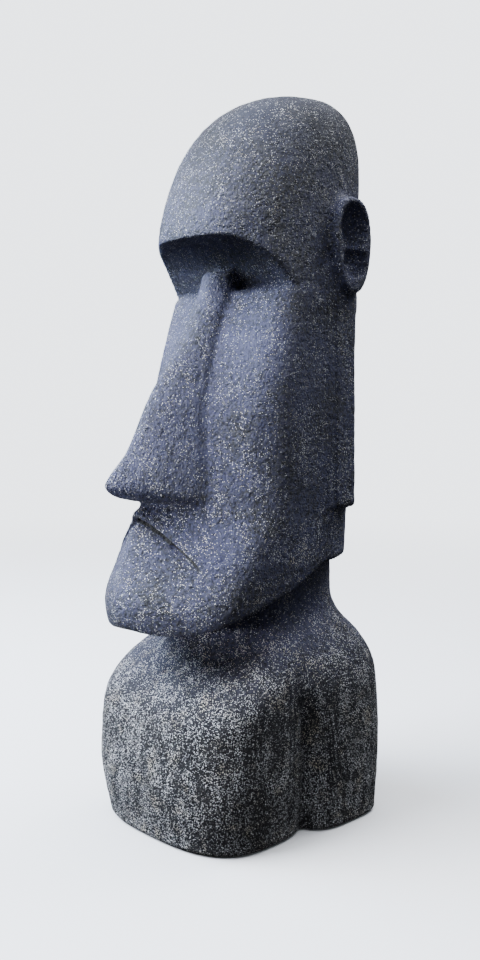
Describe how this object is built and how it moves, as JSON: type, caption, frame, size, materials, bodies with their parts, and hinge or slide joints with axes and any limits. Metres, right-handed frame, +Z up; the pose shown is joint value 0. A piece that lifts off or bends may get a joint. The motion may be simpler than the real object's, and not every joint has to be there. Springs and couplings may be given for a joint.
{
  "type": "moai head statue",
  "caption": "Standing stone head statue with a long face, heavy slanted brow, wedge nose and long ears, on a short torso cut flat below; it stands by its own weight as an ornament.",
  "frame": {"origin": "on the floor plane z = 0, at the middle of the flat underside across the plane of symmetry", "axes": "+Z up, the face looks along -Y, +X is the statue's own left side; x = 0 is the plane of symmetry"},
  "size_m": [0.314, 0.4039, 1],
  "materials": {
    "charcoal_stone": "dark charcoal, pecked all over and rough, with a dense pale speckle"
  },
  "bodies": {
    "root": {"moai_statue": "charcoal_stone"}
  },
  "joints": []
}
